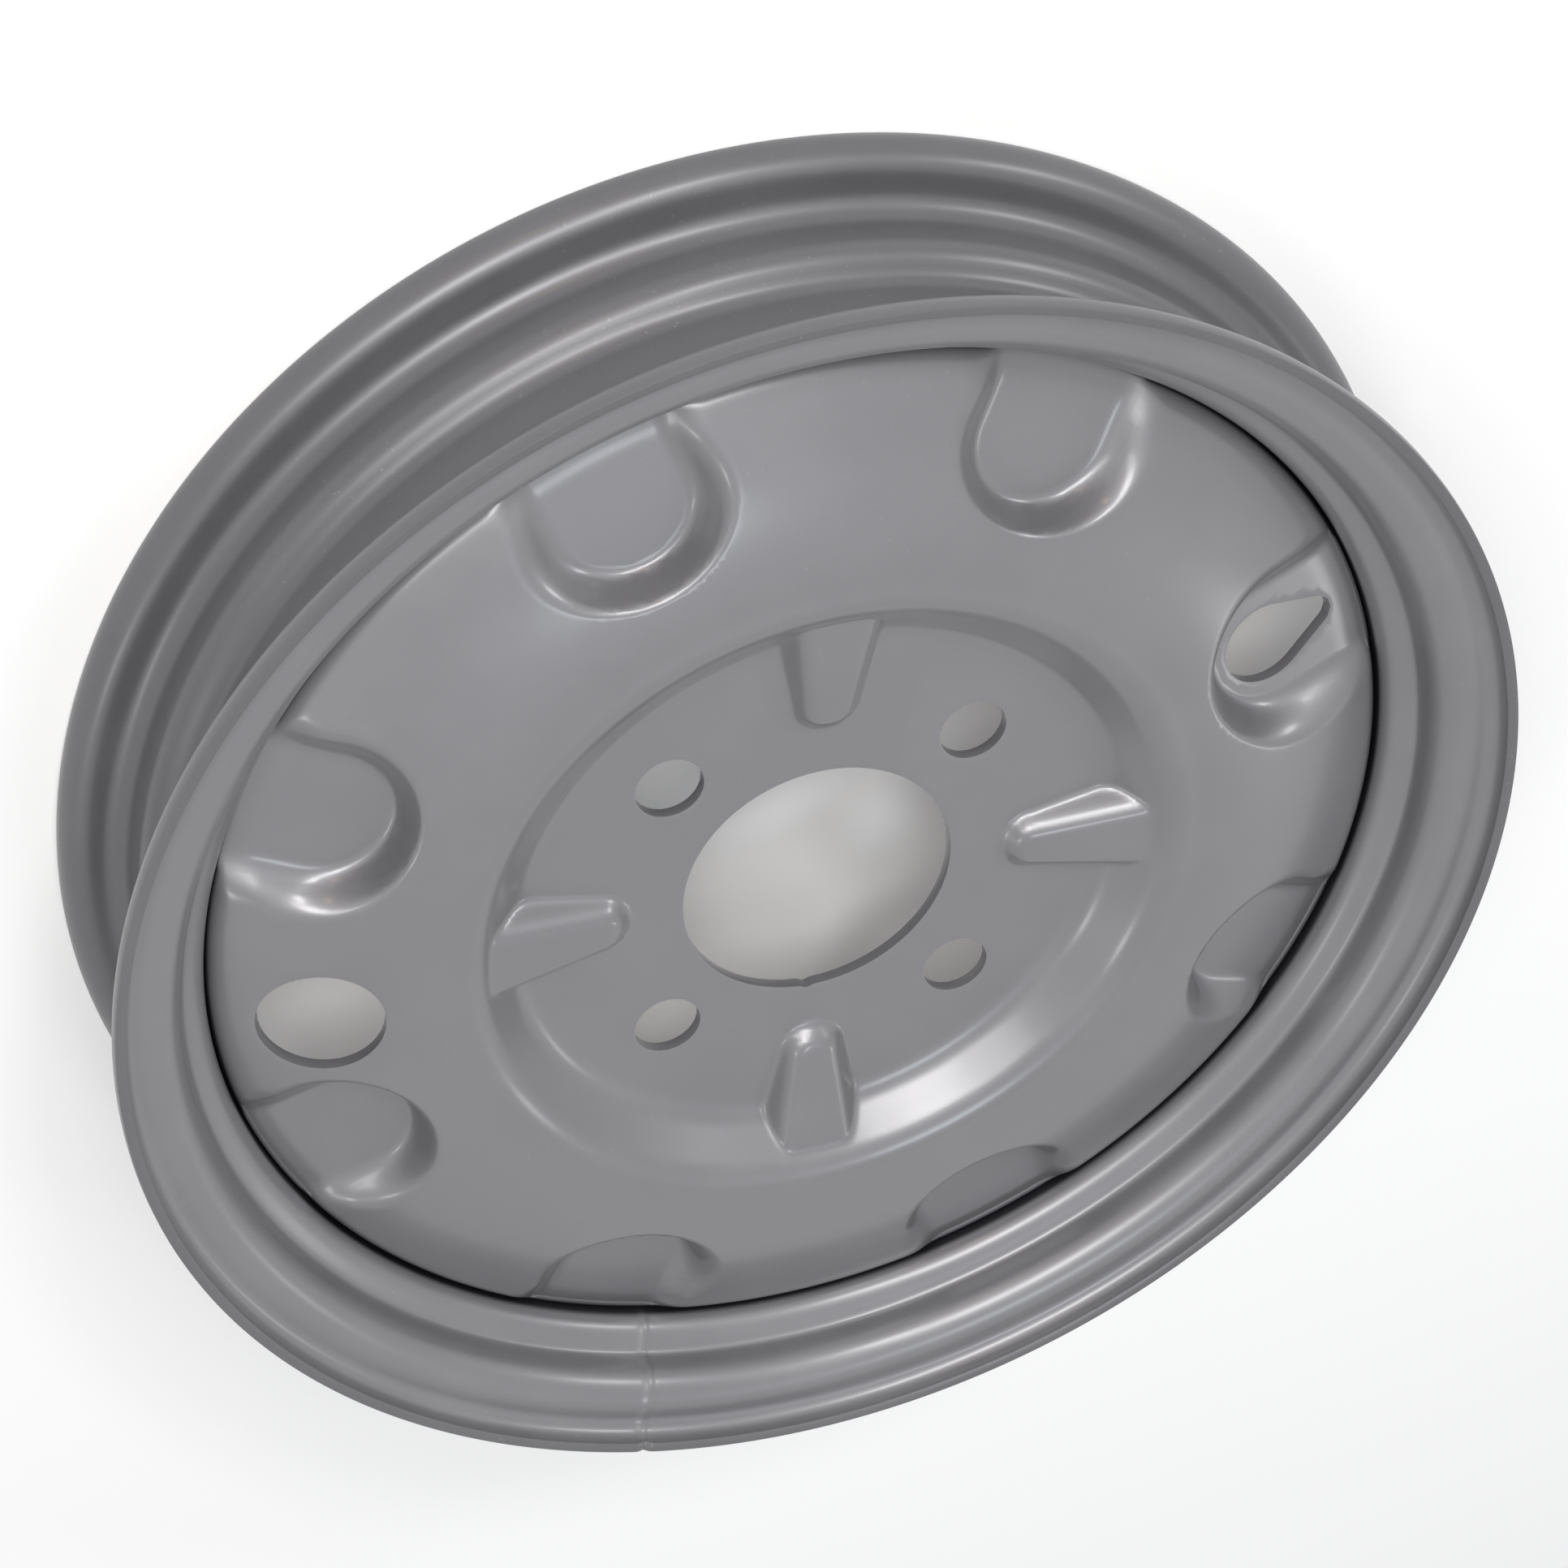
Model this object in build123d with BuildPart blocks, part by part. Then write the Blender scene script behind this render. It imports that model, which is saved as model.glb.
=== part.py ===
import os
from math import atan2, cos, degrees, radians, sin, sqrt, tan

from build123d import *

# All sizes are in millimetres. The wheel lies on its inboard flange with the outboard side up.
# Its axis is Z, and zero is the lowest edge of the inboard flange.

# Rim
seat_radius = 152.0
flange_height = 14.0
rim_width = 54.6
rim_sheet = 2.4
roll_radius = 6.5
roll_past_top = 20.0
heel_bend = 7.0
seat_angle = 5.0
outboard_seat = 9.7
inboard_seat = 13.0
well_depth = 10.0
well_wall_angle = 60.0
toe_bend = 3.5
well_bend = 5.0
valve_hole = 11.5
valve_angle = -112.5
valve_inset = 1.5

# Disc
disc_sheet = 2.8
disc_fit = 0.1
wheel_offset = 10.2
bore_radius = 32.5
dish_depth = 11.3
wall_run = 7.5
wall_round = 9.0
crest_width = 6.5
land_width = 53.9
land_drop = 13.0
edge_round = 7.5
flange_length = 13.3
notch_margin = 8.0
notch_headroom = 1.5
notch_round = 4.0

# Holes in the disc
bolt_count = 4
bolt_circle = 101.6
bolt_hole = 16.0
access_hole = 28.0
access_inset = 23.4
access_angle = 48.0

# Pockets in the outer land
pocket_count = 8
pocket_depth = 10.7
pocket_tilt = 6.8
pocket_length = 35.4
pocket_half_width = 16.3
pocket_side_draft = 42.5
pocket_end_draft = 19.0
mouth_round = 4.0
pocket_cut_above = 14.0
pocket_cut_below = 5.0
pocket_floor_lap = 2.5
valve_pocket_longer = 5.0
valve_pocket_half_wider = 1.5
valve_mouth_round = 5.0

# Valve passage in the floor of one pocket
passage_wide = 10.6
passage_wide_inset = 25.4
passage_narrow = 4.6
passage_narrow_inset = 12.4

# Ribs between the bolt holes
rib_count = 4
rib_first = 45.0
rib_tip = 45.5
rib_tip_half = 6.5
rib_tip_rise = 2.6
rib_root_half = 14.5
rib_root_below_crest = 0.5
rib_root_lap = 1.5
rib_draft = 32.0
rib_round = 3.4
rib_nose = 0.8
rib_sink = 1.0

# Weld beads behind the disc
weld_count = 8
weld_arc = 18.0
weld_leg = 2.8

rim_radius = seat_radius + flange_height
roll_height = rim_width / 2 + roll_radius
middle_height = roll_height + roll_radius * sin(radians(roll_past_top))
overall_height = 2 * middle_height
well_inner_radius = seat_radius - well_depth
valve_height = middle_height - valve_inset
disc_radius = well_inner_radius - disc_fit
hub_height = middle_height + wheel_offset + disc_sheet
crest_height = hub_height + dish_depth
crest_radius = disc_radius - land_width
land_arc = (land_width**2 + land_drop**2) / (2 * land_drop)
flange_end = crest_height - land_drop - flange_length
wall_top = crest_radius - crest_width
wall_foot = wall_top - wall_run
wall_slope = degrees(atan2(dish_depth, wall_run))
pocket_inner = disc_radius - pocket_length
pocket_height = crest_height - pocket_depth
rib_root = wall_top + rib_root_lap
overcut = 1.0


def seat_corners(side, seat_length):
    # Corners of the sheet's middle line on one side, from the flange wall to the well.
    wall = rim_width / 2 + rim_sheet / 2
    toe = rim_width / 2 - seat_length
    heel_radius = seat_radius - rim_sheet / 2
    toe_radius = heel_radius - (wall - toe) * tan(radians(seat_angle))
    well_radius = well_inner_radius + rim_sheet / 2
    foot = toe - (toe_radius - well_radius) / tan(radians(well_wall_angle))
    return [
        (rim_radius - roll_radius, middle_height + side * wall),
        (heel_radius, middle_height + side * wall),
        (toe_radius, middle_height + side * toe),
        (well_radius, middle_height + side * foot),
    ]


def foot_shift(slope, inset):
    # How far the foot of a sloping wall moves when the floor and the wall both move by the inset.
    return inset * tan(radians(slope) / 2)


def land_height(radius, inset):
    # Height of the land's arc at a radius.
    arc = land_arc - inset
    return crest_height - land_arc + sqrt(arc**2 - (radius - crest_radius) ** 2)


def turned_blank(inset):
    # The disc's turned form, solid below its outboard face.
    shift = foot_shift(wall_slope, inset)
    outer = disc_radius - inset
    base = flange_end - (overcut if inset else 0)
    foot = (wall_foot + shift, hub_height - inset)
    top = (wall_top + shift, crest_height - inset)
    crest = (crest_radius, crest_height - inset)
    edge = (outer, land_height(outer, inset))
    with BuildPart() as blank:
        with BuildSketch(Plane.XZ) as section:
            with BuildLine():
                Polyline((0, base), (0, hub_height - inset), foot, top, crest)
                RadiusArc(crest, edge, land_arc - inset)
                Polyline(edge, (outer, base), (0, base))
            make_face()
            fillet(section.vertices().sort_by_distance(foot)[0], wall_round + inset)
            fillet(section.vertices().sort_by_distance(top)[0], wall_round - inset)
            fillet(section.vertices().sort_by_distance(edge)[0], edge_round - inset)
        revolve(axis=Axis.Z)
    return blank.part


def pocket_plane(inset):
    # The tilted plane of a pocket's floor, its X axis pointing outwards from the wheel's axis.
    lean = radians(pocket_tilt)
    floor = Plane(
        origin=(pocket_inner, 0, pocket_height),
        x_dir=(cos(lean), 0, -sin(lean)),
        z_dir=(sin(lean), 0, cos(lean)),
    )
    return floor.offset(-inset)


def pocket_outline(length, half_width, level, inset, margin=0):
    # A pocket's D outline at a level above its floor, running out past the disc's edge.
    half = half_width + margin + level * tan(radians(pocket_side_draft))
    half += foot_shift(90 - pocket_side_draft, inset)
    start = pocket_length - length - margin - level * tan(radians(pocket_end_draft))
    start -= foot_shift(90 - pocket_end_draft, inset)
    centre = start + half
    reach = pocket_length + pocket_half_width
    with BuildLine() as outline:
        ThreePointArc((centre, half), (start, 0), (centre, -half))
        Polyline((centre, -half), (reach, -half), (reach, half), (centre, half))
    return outline.edges()


def pocket_punch(length, half_width, low, high, inset):
    # The space of one pocket between two levels, its walls sloping outwards.
    floor = pocket_plane(inset)
    foot = pocket_outline(length, half_width, low, inset)
    mouth = pocket_outline(length, half_width, high, inset)
    with BuildPart() as punch:
        with BuildSketch(floor.offset(low)):
            make_face(foot)
        with BuildSketch(floor.offset(high)):
            make_face(mouth)
        loft(ruled=True)
    return punch.part


def pocket_floor(length, half_width, mouth, blank, inset):
    # The metal below a pocket's floor, wide enough to close what the mouth's rounding opens.
    outline = pocket_outline(length, half_width, 0, inset, margin=pocket_floor_lap * mouth)
    with BuildPart() as floor:
        with BuildSketch(pocket_plane(inset)):
            make_face(outline)
        extrude(amount=-pocket_cut_below - overcut)
        add(blank, mode=Mode.INTERSECT)
    return floor.part


def rib_body(inset):
    # One rib, its foot inside the hub face and its root inside the ring wall.
    rise = dish_depth - rib_root_below_crest - rib_tip_rise
    lean = atan2(rise, rib_root - rib_tip)
    spread = rib_sink * tan(radians(rib_draft)) - foot_shift(90 - rib_draft, inset)
    tip = rib_tip - spread
    tip_half = rib_tip_half + spread
    root_half = rib_root_half + spread
    top = Plane(
        origin=(rib_tip, 0, hub_height + rib_tip_rise),
        x_dir=(cos(lean), 0, sin(lean)),
        z_dir=(-sin(lean), 0, cos(lean)),
    ).offset(-inset)
    with BuildPart() as rib:
        with BuildSketch(Plane.XY.offset(hub_height - inset - rib_sink)) as outline:
            with BuildLine():
                Polyline(
                    (tip, -tip_half),
                    (rib_root, -root_half),
                    (rib_root, root_half),
                    (tip, tip_half),
                    close=True,
                )
            make_face()
            fillet(outline.vertices().sort_by(Axis.X)[:2], rib_nose * tip_half)
        extrude(amount=crest_height - hub_height + rib_sink, taper=rib_draft)
        split(bisect_by=top, keep=Keep.BOTTOM)
        crown = rib.faces().sort_by(Axis(top.origin, top.z_dir))[-1]
        fillet(crown.edges().sort_by(Axis.X)[:-1], rib_round - inset)
    return rib.part


def mouth_edges(edges, inset):
    # Of a pocket's new edges, those where its walls meet the land.
    def on_land(edge):
        place = edge.center()
        inside = sqrt(place.X**2 + place.Y**2) < disc_radius - edge_round / 2
        return inside and place.Z > hub_height - inset

    return edges.filter_by(on_land)


def pressed_form(inset):
    # The disc's outboard form, or the same form moved in by the thickness of the sheet.
    blank = turned_blank(inset)
    usual = (pocket_length, pocket_half_width)
    larger = (pocket_length + valve_pocket_longer, pocket_half_width + valve_pocket_half_wider)
    levels = (-pocket_cut_below, pocket_cut_above)
    pitch = 360 / pocket_count
    others = (0, pocket_count - 1, valve_angle + pitch, 360 - pitch)
    with BuildPart() as form:
        add(blank)
        with PolarLocations(*others):
            add(pocket_punch(*usual, *levels, inset), mode=Mode.SUBTRACT)
        fillet(mouth_edges(form.edges(Select.NEW), inset), mouth_round - inset)
        with PolarLocations(0, 1, valve_angle):
            add(pocket_punch(*larger, *levels, inset), mode=Mode.SUBTRACT)
        fillet(mouth_edges(form.edges(Select.NEW), inset), valve_mouth_round - inset)
        with PolarLocations(*others):
            add(pocket_floor(*usual, mouth_round, blank, inset))
        with PolarLocations(0, 1, valve_angle):
            add(pocket_floor(*larger, valve_mouth_round, blank, inset))
        with PolarLocations(0, rib_count, rib_first):
            add(rib_body(inset))
    return form.part


# The valve's axis points outwards from the wheel's axis, towards the well.
valve_plane = Plane(
    origin=(0, 0, valve_height),
    x_dir=(-sin(radians(valve_angle)), cos(radians(valve_angle)), 0),
    z_dir=(cos(radians(valve_angle)), sin(radians(valve_angle)), 0),
)

# Rim: one rolled section with its flanges, bead seats and well

outboard = seat_corners(1, outboard_seat)
inboard = seat_corners(-1, inboard_seat)
roll_middle = roll_radius - rim_sheet / 2
roll_sweep = 90 + roll_past_top
with BuildPart() as rim:
    with BuildSketch(Plane.XZ):
        with BuildLine():
            FilletPolyline(
                *outboard,
                *reversed(inboard),
                radius=(heel_bend, toe_bend, well_bend, well_bend, toe_bend, heel_bend),
            )
            CenterArc(
                (rim_radius - roll_radius, middle_height + roll_height),
                roll_middle,
                -90,
                roll_sweep,
            )
            CenterArc(
                (rim_radius - roll_radius, middle_height - roll_height),
                roll_middle,
                90,
                -roll_sweep,
            )
        trace(line_width=rim_sheet)
    revolve(axis=Axis.Z)
    with BuildSketch(valve_plane):
        Circle(valve_hole / 2)
    extrude(amount=rim_radius, mode=Mode.SUBTRACT)

# Disc: the pressed form less the same form moved in by the sheet, then its holes

with BuildPart() as disc:
    add(pressed_form(0))
    add(pressed_form(disc_sheet), mode=Mode.SUBTRACT)
    with BuildSketch(Plane.XY):
        Circle(bore_radius)
        with PolarLocations(bolt_circle / 2, bolt_count):
            Circle(bolt_hole / 2)
        with PolarLocations(disc_radius - access_inset, 1, access_angle):
            Circle(access_hole / 2)
    extrude(amount=overall_height, mode=Mode.SUBTRACT)
    with BuildSketch(Plane.XY):
        with PolarLocations(0, 1, valve_angle):
            with Locations((disc_radius - passage_wide_inset, 0)):
                Circle(passage_wide)
            with Locations((disc_radius - passage_narrow_inset, 0)):
                Circle(passage_narrow)
        make_hull()
    extrude(amount=overall_height, mode=Mode.SUBTRACT)

    notch_half = valve_hole / 2 + notch_margin
    with BuildSketch(valve_plane) as notch:
        with Locations((0, valve_hole / 2 + notch_headroom)):
            Rectangle(2 * notch_half, valve_height, align=(Align.CENTER, Align.MAX))
        fillet(notch.vertices().group_by(Axis.Y)[-1], notch_round)
    extrude(amount=rim_radius, mode=Mode.SUBTRACT)

# Weld beads in the corner between the disc's flange and the well

weld_plane = Plane.XZ.rotated((0, 0, -weld_arc / 2))
with BuildPart() as one_bead:
    with BuildSketch(weld_plane):
        with BuildLine():
            corner = (disc_radius, flange_end)
            toe_in = (disc_radius - weld_leg, flange_end)
            toe_out = (disc_radius, flange_end - weld_leg)
            Polyline(toe_in, corner, toe_out)
            RadiusArc(toe_in, toe_out, weld_leg)
        make_face()
    revolve(axis=Axis.Z, revolution_arc=weld_arc)
with BuildPart() as weld_beads:
    with PolarLocations(0, weld_count):
        add(one_bead.part)

os.makedirs("parts", exist_ok=True)
rim.part.label = "rim"
disc.part.label = "disc"
weld_beads.part.label = "weld_beads"
export_step(rim.part, "parts/rim.step")
export_step(disc.part, "parts/disc.step")
export_step(weld_beads.part, "parts/weld_beads.step")
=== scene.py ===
import math

import bpy
import numpy as np
from mathutils import Matrix, Vector


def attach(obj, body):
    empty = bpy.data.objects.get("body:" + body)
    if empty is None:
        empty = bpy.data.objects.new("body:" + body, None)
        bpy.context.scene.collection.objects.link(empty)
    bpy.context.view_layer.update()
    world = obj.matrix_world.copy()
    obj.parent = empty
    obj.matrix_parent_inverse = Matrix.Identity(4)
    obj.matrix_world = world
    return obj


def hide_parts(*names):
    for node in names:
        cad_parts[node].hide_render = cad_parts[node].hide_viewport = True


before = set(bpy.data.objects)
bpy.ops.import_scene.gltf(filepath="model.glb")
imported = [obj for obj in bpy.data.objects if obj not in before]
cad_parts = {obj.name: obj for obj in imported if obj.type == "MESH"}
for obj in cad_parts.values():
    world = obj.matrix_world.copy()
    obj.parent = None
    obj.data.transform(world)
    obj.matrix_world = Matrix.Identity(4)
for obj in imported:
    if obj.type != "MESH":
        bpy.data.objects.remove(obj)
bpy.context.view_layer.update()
print("frame loaded:", sorted(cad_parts))

millimetre = 0.001

# a length in millimetres, or an angle in radians, that counts as none
close = 0.01

# the rays that see the white background
seenBy = ("Is Camera Ray", "Is Glossy Ray", "Is Transmission Ray")


# shader maths: an expression on sockets adds the nodes that work it out


class Value:
    def __init__(self, paint, socket):
        self.paint = paint
        self.socket = socket

    def combine(self, operation, first, second):
        link = self.paint.node("ShaderNodeMath", {"operation": operation}, {0: first, 1: second})
        return Value(self.paint, link)

    def __add__(self, other):
        return self.combine("ADD", self, other)

    def __radd__(self, other):
        return self.combine("ADD", other, self)

    def __sub__(self, other):
        return self.combine("SUBTRACT", self, other)

    def __rsub__(self, other):
        return self.combine("SUBTRACT", other, self)

    def __mul__(self, other):
        return self.combine("MULTIPLY", self, other)

    def __rmul__(self, other):
        return self.combine("MULTIPLY", other, self)


class Paint:
    # the nodes of one material, or of the world
    def __init__(self, owner, end="ShaderNodeOutputMaterial"):
        self.owner = owner
        self.end = end
        owner.use_nodes = True
        self.tree = owner.node_tree
        self.tree.nodes.clear()

    def node(self, kind, settings=None, inputs=None, output=0):
        # one node: its settings first, then a value or a link for each socket
        made = self.tree.nodes.new(kind)
        for key, value in (settings or {}).items():
            setattr(made, key, value)
        for key, value in (inputs or {}).items():
            value = value.socket if isinstance(value, Value) else value
            if isinstance(value, bpy.types.NodeSocket):
                self.tree.links.new(value, made.inputs[key])
            else:
                made.inputs[key].default_value = value
        return made.outputs[output] if made.outputs else None

    def spot(self):
        return self.node("ShaderNodeTexCoord", output="Object")

    def noise(self, scale, detail, roughness):
        made = self.node(
            "ShaderNodeTexNoise",
            inputs={"Vector": self.spot(), "Scale": scale, "Detail": detail, "Roughness": roughness},
            output="Fac",
        )
        return Value(self, made)

    def fromAxis(self):
        flat = self.node(
            "ShaderNodeVectorMath", {"operation": "MULTIPLY"}, {0: self.spot(), 1: (1, 1, 0)}
        )
        length = self.node("ShaderNodeVectorMath", {"operation": "LENGTH"}, {0: flat}, "Value")
        return Value(self, length)

    def height(self):
        return Value(self, self.node("ShaderNodeSeparateXYZ", inputs={0: self.spot()}, output="Z"))

    def band(self, value, low, high):
        # a smooth step from 0 at low to 1 at high
        made = self.node(
            "ShaderNodeMapRange",
            {"interpolation_type": "SMOOTHSTEP"},
            {"Value": value, "From Min": low, "From Max": high},
        )
        return Value(self, made)

    def reach(self, value, low, high):
        # the same step between two lengths in millimetres
        return self.band(value, low * millimetre, high * millimetre)

    def mix(self, share, first, second):
        return self.node(
            "ShaderNodeMix",
            {"data_type": "RGBA"},
            {0: share, 6: first, 7: second},
            output=2,
        )

    def seen(self):
        # 1 for the rays that see the white background, 0 for those that light the wheel
        camera, glossy, through = (
            Value(self, self.node("ShaderNodeLightPath", output=ray)) for ray in seenBy
        )
        return camera + glossy + through

    def finishWith(self, shader):
        self.node(self.end, inputs={"Surface": shader})
        return self.owner


# silver-grey paint: a metallic base under a soft clear coat, with orange peel and faint dust; it can also
# carry painted shade in the joint's crevice and in the channel

silverPaint = {
    "colour": (0.182, 0.180, 0.192),
    "paler": (0.206, 0.204, 0.215),
    "paleShare": 0.45,
    "metallic": 0.30,
    "roughness": 0.40,
    "roughMottle": 0.06,
    "roughCloud": 0.05,
    "mottleNoise": (34.0, 4.0, 0.55),  # scale, detail, roughness
    "mottleBand": (0.35, 0.70),
    "cloudNoise": (11.9, 2.0, 0.55),
    "cloudBand": (0.40, 0.75),
    "dust": (0.33, 0.315, 0.295),
    "dustShare": 0.28,
    "speckNoise": (900.0, 2.0, 0.7),
    "speckBand": (0.66, 0.74),
    "peelNoise": (420.0, 2.0, 0.5),
    "peelShare": 0.8,
    "fineNoise": (1800.0, 1.0, 0.5),
    "fineShare": 0.2,
    "peelHeight": 0.00001,
    # painted shade: the nearly black colour of the shaded crevice at the joint
    "paintedGapShade": (0.012, 0.012, 0.016),
    # painted shade: the darker brownish colour of the shaded channel, and how much of it shows
    "paintedChannelShade": (0.075, 0.064, 0.058),
    "shadeLeast": 0.55,
    "shadeMore": 0.3,
}


def silverGrey(name, tint=1.0, grit=1.0, gloss=0.19, coat=0.75, paintedGapShade=None, paintedChannelShade=None):
    # gloss is the clear coat's roughness. The last two arguments say where shade is painted: between which
    # radii and heights the joint's crevice is painted nearly black as shade, and between which heights the
    # channel is painted a darker brownish shade
    s = silverPaint
    p = Paint(bpy.data.materials.new(name))
    mottle = p.band(p.noise(*s["mottleNoise"]), *s["mottleBand"])
    cloud = p.band(p.noise(*s["cloudNoise"]), *s["cloudBand"])
    speck = p.band(p.noise(*s["speckNoise"]), *s["speckBand"])
    colour = tuple(part * tint for part in s["colour"]) + (1,)
    paler = tuple(part * tint for part in s["paler"]) + (1,)
    shown = p.mix(mottle * s["paleShare"], colour, paler)
    shown = p.mix(speck * cloud * (s["dustShare"] * grit), shown, (*s["dust"], 1))
    # painted shade: the joint's crevice is painted nearly black and its coat taken off, standing in for
    # its shadow
    if paintedGapShade:
        inside = p.reach(p.fromAxis(), *paintedGapShade["radius"])
        gapShadeShare = inside * p.reach(p.height(), *paintedGapShade["top"]) * p.reach(p.height(), *paintedGapShade["end"])
        shown = p.mix(gapShadeShare, shown, (*s["paintedGapShade"], 1))
        coat = coat * (1 - gapShadeShare)
    # painted shade: a darker brownish band across the channel beside the outboard flange, mottled by the
    # cloud noise
    if paintedChannelShade:
        low, full, high = paintedChannelShade
        channelShadeShare = p.reach(p.height(), low, full) * p.reach(p.height(), high, full)
        shown = p.mix(channelShadeShare * (s["shadeLeast"] + cloud * s["shadeMore"]), shown, (*s["paintedChannelShade"], 1))
    peel = p.noise(*s["peelNoise"]) * s["peelShare"]
    fine = p.noise(*s["fineNoise"]) * s["fineShare"]
    relief = p.node(
        "ShaderNodeBump",
        inputs={"Strength": 1.0, "Distance": s["peelHeight"] * grit, "Height": peel + fine},
        output="Normal",
    )
    rough = s["roughness"] + (mottle - 0.5) * s["roughMottle"] + cloud * s["roughCloud"] * grit
    shader = p.node(
        "ShaderNodeBsdfPrincipled",
        inputs={
            "Base Color": shown,
            "Metallic": s["metallic"],
            "Roughness": rough,
            "Coat Weight": coat,
            "Coat Roughness": gloss,
            "Normal": relief,
        },
    )
    return p.finishWith(shader)


# shape helpers, in millimetres


def bell(value, middle, width):
    return np.exp(-(((value - middle) / width) ** 2))


def angleFrom(angle, middle):
    # signed angle in radians from middle, which is in degrees
    return (angle - math.radians(middle) + math.pi) % (2 * math.pi) - math.pi


def softMin(a, b, width):
    # the smaller of two heights, blended over width where they cross
    share = np.clip(0.5 + 0.5 * (b - a) / width, 0, 1)
    return b + (a - b) * share - width * share * (1 - share)


def softMax(a, b, width):
    return -softMin(-a, -b, width)


def roundedPath(corners, radii, step):
    # straight lines between the corners, with each inner corner replaced by the arc of its radius
    # that touches both lines
    corners = np.asarray(corners, float)
    points = [corners[:1]]
    for before, corner, after, radius in zip(corners, corners[1:], corners[2:], radii):
        inward = (before - corner) / np.linalg.norm(before - corner)
        onward = (after - corner) / np.linalg.norm(after - corner)
        half = math.acos(np.clip(inward @ onward, -1, 1)) / 2
        if radius <= 0 or half > math.pi / 2 - 1e-4:
            points.append(corner[None])
            continue
        middle = corner + (inward + onward) / np.linalg.norm(inward + onward) * radius / math.sin(half)
        start = corner + inward * radius / math.tan(half) - middle
        sweep = math.pi - 2 * half
        side = np.sign(start[0] * onward[1] - start[1] * onward[0])
        turn = side * np.linspace(0, sweep, max(3, int(sweep * radius / step) + 2))
        arc = np.column_stack(
            (
                start[0] * np.cos(turn) - start[1] * np.sin(turn),
                start[0] * np.sin(turn) + start[1] * np.cos(turn),
            )
        )
        points.append(arc + middle)
    points.append(corners[-1:])
    return np.concatenate(points)


def spaced(path, density, count, step=0.05):
    # count points along a path, closer together where density, a function of the points, is larger
    fine = [path[:1]]
    for a, b in zip(path, path[1:]):
        share = np.linspace(0, 1, max(2, int(np.linalg.norm(b - a) / step)))[1:, None]
        fine.append(a + (b - a) * share)
    fine = np.concatenate(fine)
    length = np.linalg.norm(np.diff(fine, axis=0), axis=1)
    weight = np.concatenate(([0], np.cumsum(length * density((fine[1:] + fine[:-1]) / 2))))
    wanted = np.linspace(0, weight[-1], count)
    return np.column_stack([np.interp(wanted, weight, fine[:, k]) for k in (0, 1)])


def circleDistance(centreU, centreV, radius):
    return lambda u, v: np.hypot(u - centreU, v - centreV) - radius


def roundedBoxDistance(halfU, lowV, highV, radius):
    middle, halfV = (lowV + highV) / 2, (highV - lowV) / 2

    def distance(u, v):
        a = np.abs(u) - halfU + radius
        b = np.abs(v - middle) - halfV + radius
        return np.hypot(np.maximum(a, 0), np.maximum(b, 0)) + np.minimum(np.maximum(a, b), 0) - radius

    return distance


def openHole(u, v, keep, distance, reach, rounds=12, tiny=0.01):
    # cells whose middle lies inside the hole go, and the vertices round it move onto its outline;
    # distance is negative inside, and vertices within reach of the outline are evened out
    def outward(u, v):
        d = distance(u, v)
        gu = (distance(u + tiny, v) - distance(u - tiny, v)) / (2 * tiny)
        gv = (distance(u, v + tiny) - distance(u, v - tiny)) / (2 * tiny)
        size = np.maximum(np.hypot(gu, gv), 1e-9)
        return d, gu / size, gv / size

    nextU, nextV = np.roll(u, -1, 1), np.roll(v, -1, 1)
    middleU = (u[:-1] + u[1:] + nextU[:-1] + nextU[1:]) / 4
    middleV = (v[:-1] + v[1:] + nextV[:-1] + nextV[1:]) / 4
    gone = distance(middleU, middleV) < 0
    # the cells that join the two ends of an unrolled sheet lie nowhere on it
    gone &= np.abs(nextU[:-1] - u[:-1]) < reach * 4
    edge = np.zeros(u.shape, bool)
    near = np.zeros(u.shape, bool)
    for cells, marks in ((gone, near), (~gone, edge)):
        marks[:-1] |= cells
        marks[1:] |= cells
        marks[:-1] |= np.roll(cells, 1, 1)
        marks[1:] |= np.roll(cells, 1, 1)
    edge &= near
    d, _, _ = outward(u, v)
    loose = (np.abs(d) < reach) | edge
    loose[0] = loose[-1] = False
    for _ in range(rounds):
        d, gu, gv = outward(u, v)
        u = np.where(edge, u - d * gu, u)
        v = np.where(edge, v - d * gv, v)
        around = [np.roll(u, 1, 1), np.roll(u, -1, 1), np.roll(u, 1, 0), np.roll(u, -1, 0)]
        beside = [np.roll(v, 1, 1), np.roll(v, -1, 1), np.roll(v, 1, 0), np.roll(v, -1, 0)]
        u = np.where(loose, 0.5 * u + 0.125 * sum(around), u)
        v = np.where(loose, 0.5 * v + 0.125 * sum(beside), v)
    d, gu, gv = outward(u, v)
    u = np.where(edge, u - d * gu, u)
    v = np.where(edge, v - d * gv, v)
    return u, v, keep & ~gone


sheetEdge = {
    "round": 0.35,
    "segments": 2,
    "sharperThan": 55.0,
    "sliver": 0.25,
}


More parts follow.
